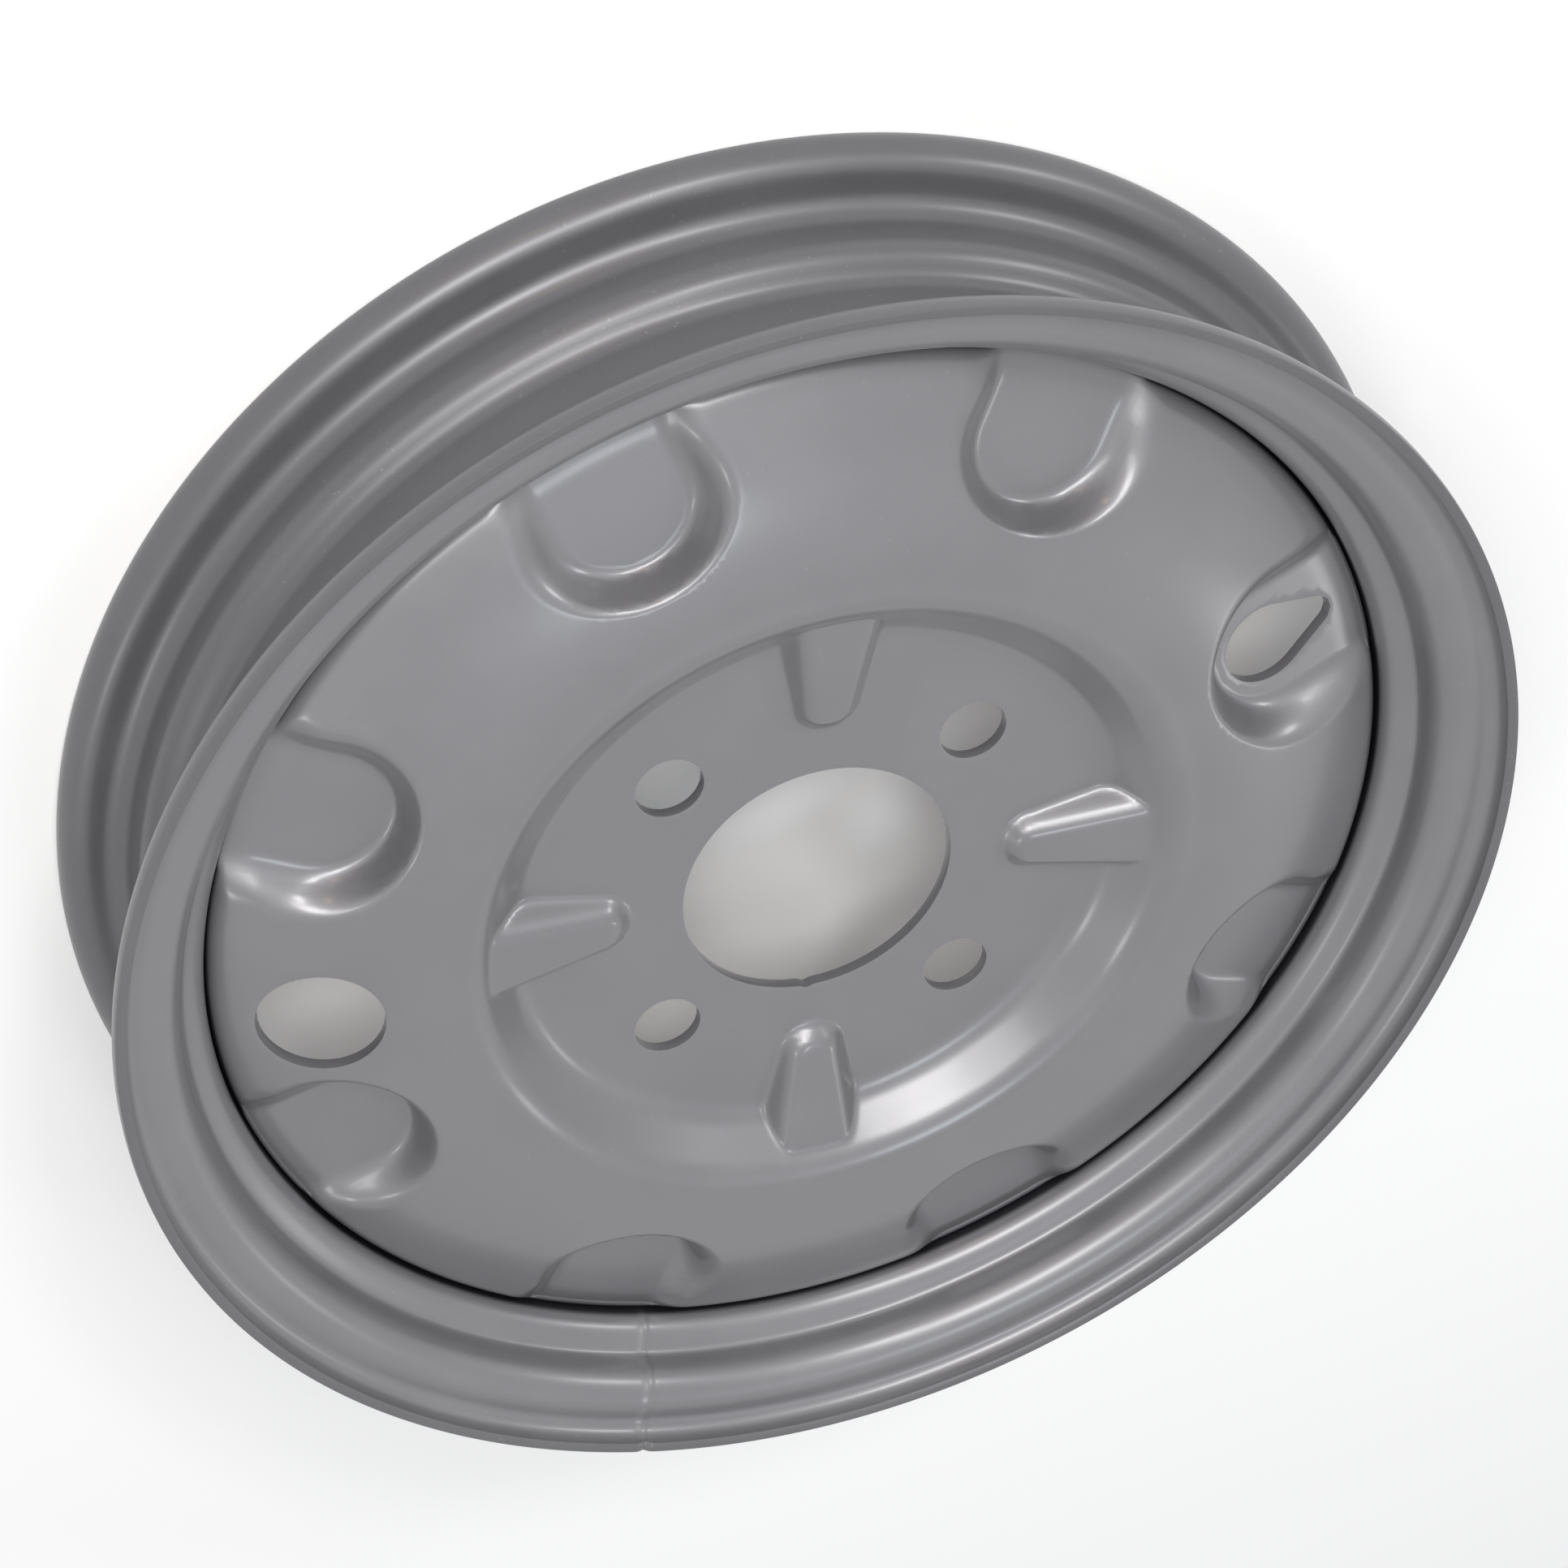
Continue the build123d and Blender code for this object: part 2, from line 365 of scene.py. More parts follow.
def cutCells(corners, points):
    # each cell is cut along the diagonal that runs level, so that a slope's shading stays even,
    # unless one of its two triangles would be a sliver
    cell = points[corners]
    normal = np.cross(cell[:, 2] - cell[:, 0], cell[:, 3] - cell[:, 1])
    whole = np.maximum((normal**2).sum(1), 1e-30)

    def smaller(*cuts):
        # the smaller triangle's share of the cell
        shares = [
            (np.cross(cell[:, b] - cell[:, a], cell[:, c] - cell[:, a]) * normal).sum(1) / whole
            for a, b, c in cuts
        ]
        return np.minimum(*shares)

    straight = smaller((0, 1, 2), (0, 2, 3))
    crossed = smaller((0, 1, 3), (1, 2, 3))
    fall = np.abs(cell[:, 0, 2] - cell[:, 2, 2]) - np.abs(cell[:, 1, 2] - cell[:, 3, 2])
    thin = np.minimum(straight, crossed) < sheetEdge["sliver"]
    across = np.where(thin, crossed > straight, fall > 1e-9)[:, None]
    first = np.where(across, corners[:, [0, 1, 3]], corners[:, [0, 1, 2]])
    second = np.where(across, corners[:, [1, 2, 3]], corners[:, [0, 2, 3]])
    return np.concatenate((first, second))


def addPiece(name, mesh):
    piece = bpy.data.objects.new(name, mesh)
    bpy.context.scene.collection.objects.link(piece)
    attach(piece, "root")
    return piece


def sheetPiece(name, x, y, z, keep, thickness, offset, paints):
    # one closed ring of sheet: rows run along its profile and columns round the axis;
    # a second paint goes on the side that the thickness adds
    rows, columns = x.shape
    points = np.stack((x, y, z), -1).reshape(-1, 3) * millimetre
    row, column = np.nonzero(keep)
    after = (column + 1) % columns
    corners = np.stack(
        (
            row * columns + column,
            (row + 1) * columns + column,
            (row + 1) * columns + after,
            row * columns + after,
        ),
        -1,
    )
    corners = cutCells(corners, points)
    used = np.unique(corners)
    renumber = np.full(rows * columns, -1)
    renumber[used] = np.arange(len(used))
    corners = renumber[corners]
    mesh = bpy.data.meshes.new(name)
    mesh.vertices.add(len(used))
    mesh.vertices.foreach_set("co", points[used].ravel())
    mesh.loops.add(corners.size)
    mesh.loops.foreach_set("vertex_index", corners.ravel())
    mesh.polygons.add(len(corners))
    mesh.polygons.foreach_set("loop_start", np.arange(0, corners.size, 3))
    mesh.polygons.foreach_set("loop_total", np.full(len(corners), 3))
    mesh.update(calc_edges=True)
    mesh.validate()
    mesh.polygons.foreach_set("use_smooth", np.ones(len(mesh.polygons), bool))
    for paint in paints:
        mesh.materials.append(paint)
    piece = addPiece(name, mesh)
    wall = piece.modifiers.new("sheetThickness", "SOLIDIFY")
    wall.thickness = thickness * millimetre
    wall.offset = offset
    wall.use_even_offset = True
    wall.material_offset = len(paints) - 1
    edge = piece.modifiers.new("edgeRound", "BEVEL")
    edge.width = sheetEdge["round"] * millimetre
    edge.segments = sheetEdge["segments"]
    edge.limit_method = "ANGLE"
    edge.angle_limit = math.radians(sheetEdge["sharperThan"])
    print(name, "made,", len(corners), "faces before its thickness")
    return piece


# disc: one pressed sheet. Its height is the turned profile, lowered inside each pocket and raised
# at each rib, every meeting blended by softMin or softMax

discShape = {
    "edgeRadius": 141.9,
    "sheet": 2.8,
    "hubHeight": 49.02,
    "bore": 32.5,
    "wallFoot": 71.9,
    "wallTop": 83.4,
    "wallRound": 9.0,
    "crestRadius": 88.0,
    "crestHeight": 60.32,
    "crestRidge": (86.4, 2.4, 0.3),  # radius, half width, rise
    "landArc": 118.24,
    "landEnd": 135.9,
    "landStop": 0.7,  # how far before the edge its points stop, as a share of edgeRound
    "landPoints": 40,
    "edgeRound": 7.5,
    "flangeEnd": 34.02,
    "boltCount": 4,
    "boltCircle": 50.8,
    "boltHole": 8.0,
    "accessRadius": 118.5,
    "accessHole": 14.0,
    "accessAngle": 48.0,
    "nickAngle": 132.0,
    "nickDepth": 0.7,
    "nickHalf": 1.1,
    "nickReach": 0.5,
    "notchHalf": 13.75,
    "notchTop": 41.75,
    "notchRound": 4.0,
    "notchBelow": 20.0,
    "notchColumns": 40.0,
    "pocketFade": (0.3, 1.2),  # where it ends before the edge, and its length
    "arcStep": 0.2,
    "rows": 92,
    "rowCrowds": ((79.0, 9.0, 0.7), (103.5, 6.0, 0.8), (139.5, 4.0, 0.9)),  # radius, width, share
    "flangeTop": 40.0,
    "flangeThinning": 0.45,
    "columns": 488,
    "columnsFrom": 22.5,
    "columnCrowd": (5.0, 17.0, 2.1),  # from and to, in degrees from a pocket's middle, and share
    "holeReach": 3.0,
    "passageReach": 2.5,
    "notchReach": 2.0,
}
pockets = {
    "count": 8,
    "first": -22.5,
    "height": 49.62,
    "tilt": 6.8,
    "tiltRounds": 4,
    "inner": 106.5,
    "halfWidth": 16.3,
    "sideDraft": 42.5,
    "endDraft": 19.0,
    "cove": 2.6,
    "mouth": 3.8,
    "endBlend": 7.0,
    "endBlendFrom": 133.0,
    "endBlendOver": 5.0,
    "largerInner": 101.5,
    "largerHalfWidth": 17.8,
    "largerMouth": 5.0,
    "largerAngle": -112.5,
    "passageWide": (116.5, 10.6),  # distance from the axis, radius
    "passageNarrow": (129.5, 4.6),
}
ribs = {
    "angles": (45.0, 135.0, 225.0, 315.0),
    "tip": 45.5,
    "root": 83.0,
    "tipHalf": 6.5,
    "rootHalf": 14.5,
    "tipRise": 3.4,
    "rootBelowCrest": 3.0,
    "draft": 32.0,
    "edge": 1.8,
    "foot": 0.7,
    "leastFoot": 0.05,
    "footFade": (3.0, 12.0),  # where it ends past the root, and its length
    "nowhere": -100.0,
}


def landHeight(radius):
    # an arc that starts level at the crest and falls towards the edge
    s = discShape
    drop = s["landArc"] ** 2 - (np.clip(radius, 0, s["edgeRadius"]) - s["crestRadius"]) ** 2
    return s["crestHeight"] - s["landArc"] + np.sqrt(drop)


def discProfile():
    # level from the bore to the ring wall, up the wall to the crest, along the land's arc and down
    # the flange, with the corners rounded
    s = discShape
    land = np.linspace(s["crestRadius"], s["edgeRadius"] - s["landStop"] * s["edgeRound"], s["landPoints"])
    corners = [
        (s["bore"], s["hubHeight"]),
        (s["wallFoot"], s["hubHeight"]),
        (s["wallTop"], s["crestHeight"]),
        (s["crestRadius"], s["crestHeight"]),
    ]
    corners += [(radius, float(landHeight(radius))) for radius in land[1:]]
    corners += [
        (s["edgeRadius"], float(landHeight(s["edgeRadius"]))),
        (s["edgeRadius"], s["flangeEnd"]),
    ]
    radii = [s["wallRound"], s["wallRound"]] + [0] * len(land) + [s["edgeRound"]]
    return roundedPath(corners, radii, s["arcStep"])


def rowDensity(points):
    # more rows at the ring wall, the pockets' mouths and the edge, fewer down the flange
    s = discShape
    crowd = sum(share * bell(points[:, 0], middle, width) for middle, width, share in s["rowCrowds"])
    return 1 + np.where(points[:, 1] > s["flangeTop"], crowd, -s["flangeThinning"])


def columnAngles(columns, sectors, crowd, samples=2001, even=81):
    # angles round the axis, closer together in the crowded part on each side of a sector's middle
    low, high, share = crowd
    per = columns // sectors
    half = math.pi / sectors
    grid = np.linspace(-half, half, samples)
    offset = np.degrees(np.abs(grid))
    weight = np.where((offset > low) & (offset < high), share, 1.0)
    weight = np.convolve(np.pad(weight, even // 2, "wrap"), np.ones(even) / even, "valid")
    total = np.concatenate(([0], np.cumsum((weight[1:] + weight[:-1]) / 2)))
    cell = np.interp(np.linspace(0, total[-1], per + 1)[:-1], total, grid)
    return np.concatenate([cell + 2 * half * k for k in range(sectors)])


def pocketHeight(x, y, angle, inner, halfWidth):
    # height of one pocket's floor and walls: outside its D outline the walls rise at their draft
    p = pockets
    turn, lean = math.radians(angle), math.radians(p["tilt"])
    out = x * math.cos(turn) + y * math.sin(turn) - p["inner"]
    across = -x * math.sin(turn) + y * math.cos(turn)
    side, end = math.tan(math.radians(p["sideDraft"])), math.tan(math.radians(p["endDraft"]))
    centre = inner - p["inner"] + halfWidth
    drift = side - end
    height = p["height"] - out * math.tan(lean)
    # the floor leans, so a wall's foot depends on the height: a few rounds settle it
    for _ in range(p["tiltRounds"]):
        rise = height - p["height"]
        along = out * math.cos(lean) - rise * math.sin(lean)
        straight = (np.abs(across) - halfWidth) / side
        # the level L at which the cone over the D's round end passes through the point:
        # (along - centre - drift * L)^2 + across^2 = (halfWidth + side * L)^2
        a = side**2 - drift**2
        b = 2 * (halfWidth * side + drift * (along - centre))
        c = halfWidth**2 - (along - centre) ** 2 - across**2
        cone = (-b + np.sqrt(np.maximum(b**2 - 4 * a * c, 0))) / (2 * a)
        level = np.where(along - centre - drift * np.maximum(cone, 0) < 0, cone, straight)
        wall = softMax(level, np.zeros_like(level), p["cove"])
        height = p["height"] + (wall - out * math.sin(lean)) / math.cos(lean)
    return height


def ribHeight(x, y, angle):
    # height of one rib: a sloping top between walls that lean at their draft round a blunt wedge
    s, r = discShape, ribs
    turn = math.radians(angle)
    along = x * math.cos(turn) + y * math.sin(turn)
    across = np.abs(-x * math.sin(turn) + y * math.cos(turn))
    spread = (r["rootHalf"] - r["tipHalf"]) / (r["root"] - r["tip"])
    half = r["tipHalf"] + (along - r["tip"]) * spread
    nose = r["tip"] + r["tipHalf"]
    noseHalf = r["tipHalf"] + r["tipHalf"] * spread
    inside = np.where(
        along < nose,
        noseHalf - np.hypot((along - nose) * noseHalf / r["tipHalf"], across),
        half - across,
    )
    wall = s["hubHeight"] + inside / math.tan(math.radians(r["draft"]))
    climb = s["crestHeight"] - s["hubHeight"] - r["rootBelowCrest"] - r["tipRise"]
    share = np.clip((along - r["tip"]) / (r["root"] - r["tip"]), -1, 1)
    top = s["hubHeight"] + r["tipRise"] + share * climb
    return np.where(along > 0, softMin(wall, top, r["edge"] * 2), r["nowhere"])


def discHeight(x, y, turned, share):
    # share fades the pockets out where the sheet turns down at its edge, and near it their mouths
    # are blended more widely
    p, r = pockets, ribs
    height = turned
    out = np.hypot(x, y)
    nearEnd = np.clip((out - p["endBlendFrom"]) / p["endBlendOver"], 0, 1)
    for index in range(p["count"]):
        angle = p["first"] + 360 / p["count"] * index
        larger = abs(angleFrom(math.radians(angle), p["largerAngle"])) < close
        inner = p["largerInner"] if larger else p["inner"]
        half = p["largerHalfWidth"] if larger else p["halfWidth"]
        mouth = p["largerMouth"] if larger else p["mouth"]
        blend = mouth + (p["endBlend"] - mouth) * nearEnd
        cut = softMin(height, pocketHeight(x, y, angle, inner, half), blend)
        # only the points within 60 degrees of the pocket
        facing = np.cos(angleFrom(np.arctan2(y, x), angle)) > 0.5
        height = np.where(facing, height + (cut - height) * share, height)
    # the foot's blend closes towards the root, so that the rib ends in the ring wall without a step
    fadeEnd, fadeOver = r["footFade"]
    fade = np.clip((r["root"] + fadeEnd - out) / fadeOver, 0, 1)
    for angle in r["angles"]:
        foot = r["foot"] * 2 * fade + r["leastFoot"]
        raised = softMax(height, ribHeight(x, y, angle), foot)
        height = np.where(out < discShape["crestRadius"], raised, height)
    return height


def passageDistance():
    # the passage's outline is two circles and their outer tangents
    (wideAt, wide), (narrowAt, narrow) = pockets["passageWide"], pockets["passageNarrow"]
    turn = math.radians(pockets["largerAngle"])
    slope = (wide - narrow) / (narrowAt - wideAt)
    lean = math.sqrt(1 - slope**2)
    length = (narrowAt - wideAt) * lean

    def distance(u, v):
        along = u * math.cos(turn) + v * math.sin(turn) - wideAt
        across = np.abs(-u * math.sin(turn) + v * math.cos(turn))
        share = along * lean - across * slope
        straight = along * slope + across * lean - wide
        first = np.hypot(along, across) - wide
        second = np.hypot(along - (narrowAt - wideAt), across) - narrow
        return np.where(share < 0, first, np.where(share > length, second, straight))

    return distance


def holeAt(angle, out, radius):
    a = math.radians(angle)
    return circleDistance(out * math.cos(a), out * math.sin(a), radius)


def openNotch(x, y, z, keep, radius, angle, tall):
    # the valve's notch below the larger pocket is cut in the flange unrolled flat, where a point's
    # place is its arc length and its height, and then rolled up again
    s = discShape
    onFlange = radius > s["edgeRadius"] - close
    arc = angleFrom(angle, pockets["largerAngle"]) * s["edgeRadius"]
    notch = roundedBoxDistance(
        s["notchHalf"], s["flangeEnd"] - s["notchBelow"], s["notchTop"], s["notchRound"]
    )
    newArc, newTall, keepNotch = openHole(arc, tall, np.ones_like(keep), notch, s["notchReach"])
    keep = np.where(onFlange[:-1] & onFlange[1:], keep & keepNotch, keep)
    moved = onFlange & (np.abs(arc) < s["notchColumns"])
    newAngle = math.radians(pockets["largerAngle"]) + newArc / s["edgeRadius"]
    x = np.where(moved, s["edgeRadius"] * np.cos(newAngle), x)
    y = np.where(moved, s["edgeRadius"] * np.sin(newAngle), y)
    z = np.where(moved, newTall, z)
    return x, y, z, keep


def makeDisc(paint):
    # the profile is turned round the axis, opened at the holes, and given its pockets and ribs
    s = discShape
    profile = spaced(discProfile(), rowDensity, s["rows"])
    # the crest stands slightly proud of the land
    ridgeAt, ridgeHalf, ridgeRise = s["crestRidge"]
    profile[:, 1] += ridgeRise * bell(profile[:, 0], ridgeAt, ridgeHalf)
    turn = columnAngles(s["columns"], pockets["count"], s["columnCrowd"]) + math.radians(s["columnsFrom"])
    radius = np.repeat(profile[:, :1], s["columns"], 1)
    turned = np.repeat(profile[:, 1:], s["columns"], 1)
    angle = np.repeat(turn[None], s["rows"], 0)
    # a small nick in the bore's edge
    nick = bell(angleFrom(angle, s["nickAngle"]) * s["bore"], 0, s["nickHalf"])
    radius = radius + s["nickDepth"] * nick * (radius < s["bore"] + s["nickReach"])
    keep = np.ones((s["rows"] - 1, s["columns"]), bool)
    x, y = radius * np.cos(angle), radius * np.sin(angle)
    for k in range(s["boltCount"]):
        bolt = holeAt(360 / s["boltCount"] * k, s["boltCircle"], s["boltHole"])
        x, y, keep = openHole(x, y, keep, bolt, s["holeReach"])
    access = holeAt(s["accessAngle"], s["accessRadius"], s["accessHole"])
    x, y, keep = openHole(x, y, keep, access, s["holeReach"])
    x, y, keep = openHole(x, y, keep, passageDistance(), s["passageReach"])
    # the turned height again, by radius, where the holes have moved the vertices
    out = np.hypot(x, y)
    z = np.where(radius < s["landEnd"], np.interp(out, profile[:, 0], profile[:, 1]), turned)
    fadeEnd, fadeOver = s["pocketFade"]
    share = np.clip((s["edgeRadius"] - fadeEnd - out) / fadeOver, 0, 1)
    share = share * share * (3 - 2 * share)
    z = np.where(out < s["edgeRadius"] - fadeEnd, discHeight(x, y, z, share), z)
    x, y, z, keep = openNotch(x, y, z, keep, radius, angle, turned)
    return sheetPiece("disc_pressed", x, y, z, keep, s["sheet"], -1, [paint])


# rim: the rolled strip's middle line turned round the axis, with its butt weld dressed nearly flush

rimShape = {
    "outerRadius": 165.97,
    "middleHeight": 36.02,
    "seatRadius": 152.0,
    "width": 54.6,
    "sheet": 2.4,
    "rollRadius": 6.5,
    "rollPastTop": 20.0,
    "rollPoints": 40,
    "heelBend": 7.0,
    "seatAngle": 5.0,
    "seats": (9.7, 13.0),  # outboard and inboard
    "wellRadius": 142.0,
    "wellWallAngle": 60.0,
    "toeBend": 3.5,
    "wellBend": 5.0,
    "valveHole": 5.75,
    "valveAngle": pockets["largerAngle"],
    "valveHeight": 34.52,
    "valveReach": 3.0,
    "valveColumns": 30.0,
    "seamAngle": 118.0,
    "seamRise": 0.25,
    "seamHalf": 1.1,
    "dressedAbove": 69.8,
    "dressedOver": 1.5,
    "nickDepth": 0.7,
    "nickRows": 3,
    "arcStep": 0.3,
    "rows": 100,
    "rowCrowd": (155.0, 0.6),  # beyond this radius, share
    "columns": 440,
    "seamCrowd": (1.6, 5.0),  # half width in degrees, share
    "valveCrowd": (4.0, 0.6),
}


def rimLine():
    # from the outboard roll down the flange, along the seat, through the well, and the same back up
    # to the inboard roll: straight lines with their bends rounded, and an arc at each end
    s = rimShape

    def side(sign, seat):
        wall = s["width"] / 2 + s["sheet"] / 2
        toe = s["width"] / 2 - seat
        heelRadius = s["seatRadius"] - s["sheet"] / 2
        toeRadius = heelRadius - (wall - toe) * math.tan(math.radians(s["seatAngle"]))
        wellRadius = s["wellRadius"] + s["sheet"] / 2
        foot = toe - (toeRadius - wellRadius) / math.tan(math.radians(s["wellWallAngle"]))
        return [
            (s["outerRadius"] - s["rollRadius"], s["middleHeight"] + sign * wall),
            (heelRadius, s["middleHeight"] + sign * wall),
            (toeRadius, s["middleHeight"] + sign * toe),
            (wellRadius, s["middleHeight"] + sign * foot),
        ]

    outboard, inboard = side(1, s["seats"][0]), side(-1, s["seats"][1])
    bends = (s["heelBend"], s["toeBend"], s["wellBend"])
    body = roundedPath(outboard + inboard[::-1], bends + bends[::-1], s["arcStep"])
    rollMiddle = s["rollRadius"] - s["sheet"] / 2
    turn = np.radians(np.linspace(-90, s["rollPastTop"], s["rollPoints"]))
    rollR = s["outerRadius"] - s["rollRadius"] + rollMiddle * np.cos(turn)
    rollZ = s["width"] / 2 + s["rollRadius"] + rollMiddle * np.sin(turn)
    top = np.column_stack((rollR, s["middleHeight"] + rollZ))[::-1]
    low = np.column_stack((rollR, s["middleHeight"] - rollZ))
    return np.concatenate((top[:-1], body, low[1:]))


def crowdedAngles(columns, places, samples=8001):
    # angles round the axis, closer together at each place (angle, half width in degrees, share)
    grid = np.linspace(-math.pi, math.pi, samples)
    weight = np.ones_like(grid)
    for middle, half, share in places:
        weight += share * bell(angleFrom(grid, middle), 0, math.radians(half))
    total = np.concatenate(([0], np.cumsum((weight[1:] + weight[:-1]) / 2)))
    return np.interp(np.linspace(0, total[-1], columns + 1)[:-1], total, grid)


def openValveHole(angle, height, keep, line):
    # the valve hole is cut in the well unrolled flat, and rolled up again
    s = rimShape
    well = s["wellRadius"] + s["sheet"] / 2
    onWell = np.repeat(np.abs(line[:, :1] - well) < close, s["columns"], 1)
    arc = angleFrom(angle, s["valveAngle"]) * well
    hole = circleDistance(0, s["valveHeight"], s["valveHole"])
    newArc, newHeight, keepHole = openHole(arc, height, keep, hole, s["valveReach"])
    keep = np.where(onWell[:-1] & onWell[1:], keepHole, keep)
    moved = onWell & (np.abs(arc) < s["valveColumns"])
    angle = np.where(moved, math.radians(s["valveAngle"]) + newArc / well, angle)
    height = np.where(moved, newHeight, height)
    return angle, height, keep


def makeRim(paints):
    # the middle line is turned round the axis, raised along its normal at the seam, and opened
    # at the valve hole
    s = rimShape
    beyond, share = s["rowCrowd"]
    line = spaced(rimLine(), lambda points: 1 + share * (points[:, 0] > beyond), s["rows"])
    crowd = ((s["seamAngle"], *s["seamCrowd"]), (s["valveAngle"], *s["valveCrowd"]))
    radius = np.repeat(line[:, :1], s["columns"], 1)
    height = np.repeat(line[:, 1:], s["columns"], 1)
    angle = np.repeat(crowdedAngles(s["columns"], crowd)[None], s["rows"], 0)
    # the butt weld is a low ridge towards the visible side, ground flush on the outboard roll
    along = np.gradient(line, axis=0)
    along /= np.linalg.norm(along, axis=1)[:, None]
    seam = bell(angleFrom(angle, s["seamAngle"]) * s["seatRadius"], 0, s["seamHalf"])
    ridge = s["seamRise"] * seam * np.clip((s["dressedAbove"] - height) / s["dressedOver"], 0, 1)
    radius = radius + along[:, 1:] * ridge
    height = height - along[:, :1] * ridge
    # and it leaves a nick in the lip
    height[: s["nickRows"]] -= s["nickDepth"] * seam[: s["nickRows"]]
    keep = np.ones((s["rows"] - 1, s["columns"]), bool)
    angle, height, keep = openValveHole(angle, height, keep, line)
    x, y = radius * np.cos(angle), radius * np.sin(angle)
    return sheetPiece("rim_rolled", x, y, height, keep, s["sheet"], 0, paints)


# weld beads: a quarter-round fillet swept along each arc, rippled by the arc's travel

weldShape = {
    "count": 8,
    "arc": 18.0,
    "leg": 2.75,
    "radius": 141.88,
    "top": discShape["flangeEnd"],
    "endSize": 0.45,
    "endPower": 10,
    "flatness": 0.86,
    "ripple": 0.16,
    "pitch": 1.7,
    "rippleCrest": 0.2,
    "rippleTail": 0.5,
    "sharperThan": 50.0,
    "along": 150,
    "around": 16,
}


def weldSection(travel):
    # the corner's two legs joined by a flattened arc, smaller at the bead's ends and between ripples
    s = weldShape
    run = math.radians(s["arc"]) * s["radius"]
    full = np.sqrt(np.clip(1 - (np.abs(travel) * 2) ** s["endPower"], 0, 1))
    end = full * (1 - s["endSize"]) + s["endSize"]
    phase = (travel * run / s["pitch"]) % 1.0
    crest = np.sqrt(np.clip(1 - (phase - s["rippleCrest"]) ** 2, 0, 1))
    ripple = 1 - s["ripple"] * (1 - crest + phase**2 * s["rippleTail"])
    size = (s["leg"] * end * ripple)[:, None]
    sweep = np.linspace(0, math.pi / 2, s["around"] - 1)
    bulge = 1 - (1 - s["flatness"]) * np.sin(2 * sweep)[None]
    corner = np.zeros((s["along"], 1))
    down = np.concatenate((size * np.cos(sweep) * bulge, corner), 1)
    inward = np.concatenate((size * np.sin(sweep) * bulge, corner), 1)
    return down, inward


def makeWelds(paint):
    # each bead's section turns round the axis through the bead's arc, with a flat end at both sides
    s = weldShape
    travel = np.linspace(-0.5, 0.5, s["along"])
    down, inward = weldSection(travel)
    radius = s["radius"] - inward
    around = s["around"]
    i, j = np.meshgrid(np.arange(s["along"] - 1), np.arange(around), indexing="ij")
    here, after = i * around, (j + 1) % around
    sides = np.stack((here + j, here + after, here + around + after, here + around + j), -1)
    sides = sides.reshape(-1, 4)
    points, faces = [], []
    for k in range(s["count"]):
        angle = math.radians(360 / s["count"] * k) + (travel * math.radians(s["arc"]))[:, None]
        first = k * s["along"] * around
        last = first + (s["along"] - 1) * around
        bead = np.stack((radius * np.cos(angle), radius * np.sin(angle), s["top"] - down), -1)
        points.append(bead.reshape(-1, 3))
        faces += (sides + first).tolist()
        faces.append([first + n for n in range(around)][::-1])
        faces.append([last + n for n in range(around)])
    mesh = bpy.data.meshes.new("weld_beads_rippled")
    mesh.from_pydata((np.concatenate(points) * millimetre).tolist(), [], faces)
    mesh.update()
    mesh.polygons.foreach_set("use_smooth", np.ones(len(mesh.polygons), bool))
    mesh.set_sharp_from_angle(angle=math.radians(s["sharperThan"]))
    mesh.materials.append(paint)
    print("weld beads made")
    return addPiece("weld_beads_rippled", mesh)


# painted shade at the joint: the disc's rounded edge and the wall of the well beside it are painted nearly
# black where the crevice lies in shadow. Each pair runs from where the paint is still pale to where it is
# fully shaded: by radius, down from the top, and up from the end behind the joint
discPaintedShade = {"radius": (140.0, 141.2), "top": (47.5, 45.5), "end": (34.5, 37.0)}
rimPaintedShade = {"radius": (145.5, 143.0), "top": (48.5, 46.5), "end": (34.5, 38.0)}
# painted shade: the channel is painted a darker brownish colour from the first height to the second, and
# back by the third
channelShadeHeights = (36.0, 50.0, 60.0)

disc = makeDisc(silverGrey("discPaint", paintedGapShade=discPaintedShade))
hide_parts("disc")
rim = makeRim(
    [
        # the channel side's paint is a darker copy of the rim's paint: painted shade
        silverGrey("channelPaintShaded", tint=0.68, grit=1.5, gloss=0.24, coat=0.35, paintedChannelShade=channelShadeHeights),
        silverGrey("rimPaint", gloss=0.24, paintedGapShade=rimPaintedShade),
    ]
)
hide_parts("rim")
welds = makeWelds(silverGrey("weldPaint", tint=0.95, grit=1.6))
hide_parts("weld_beads")


# stage: a pale floor that keeps the shadow, lights and camera

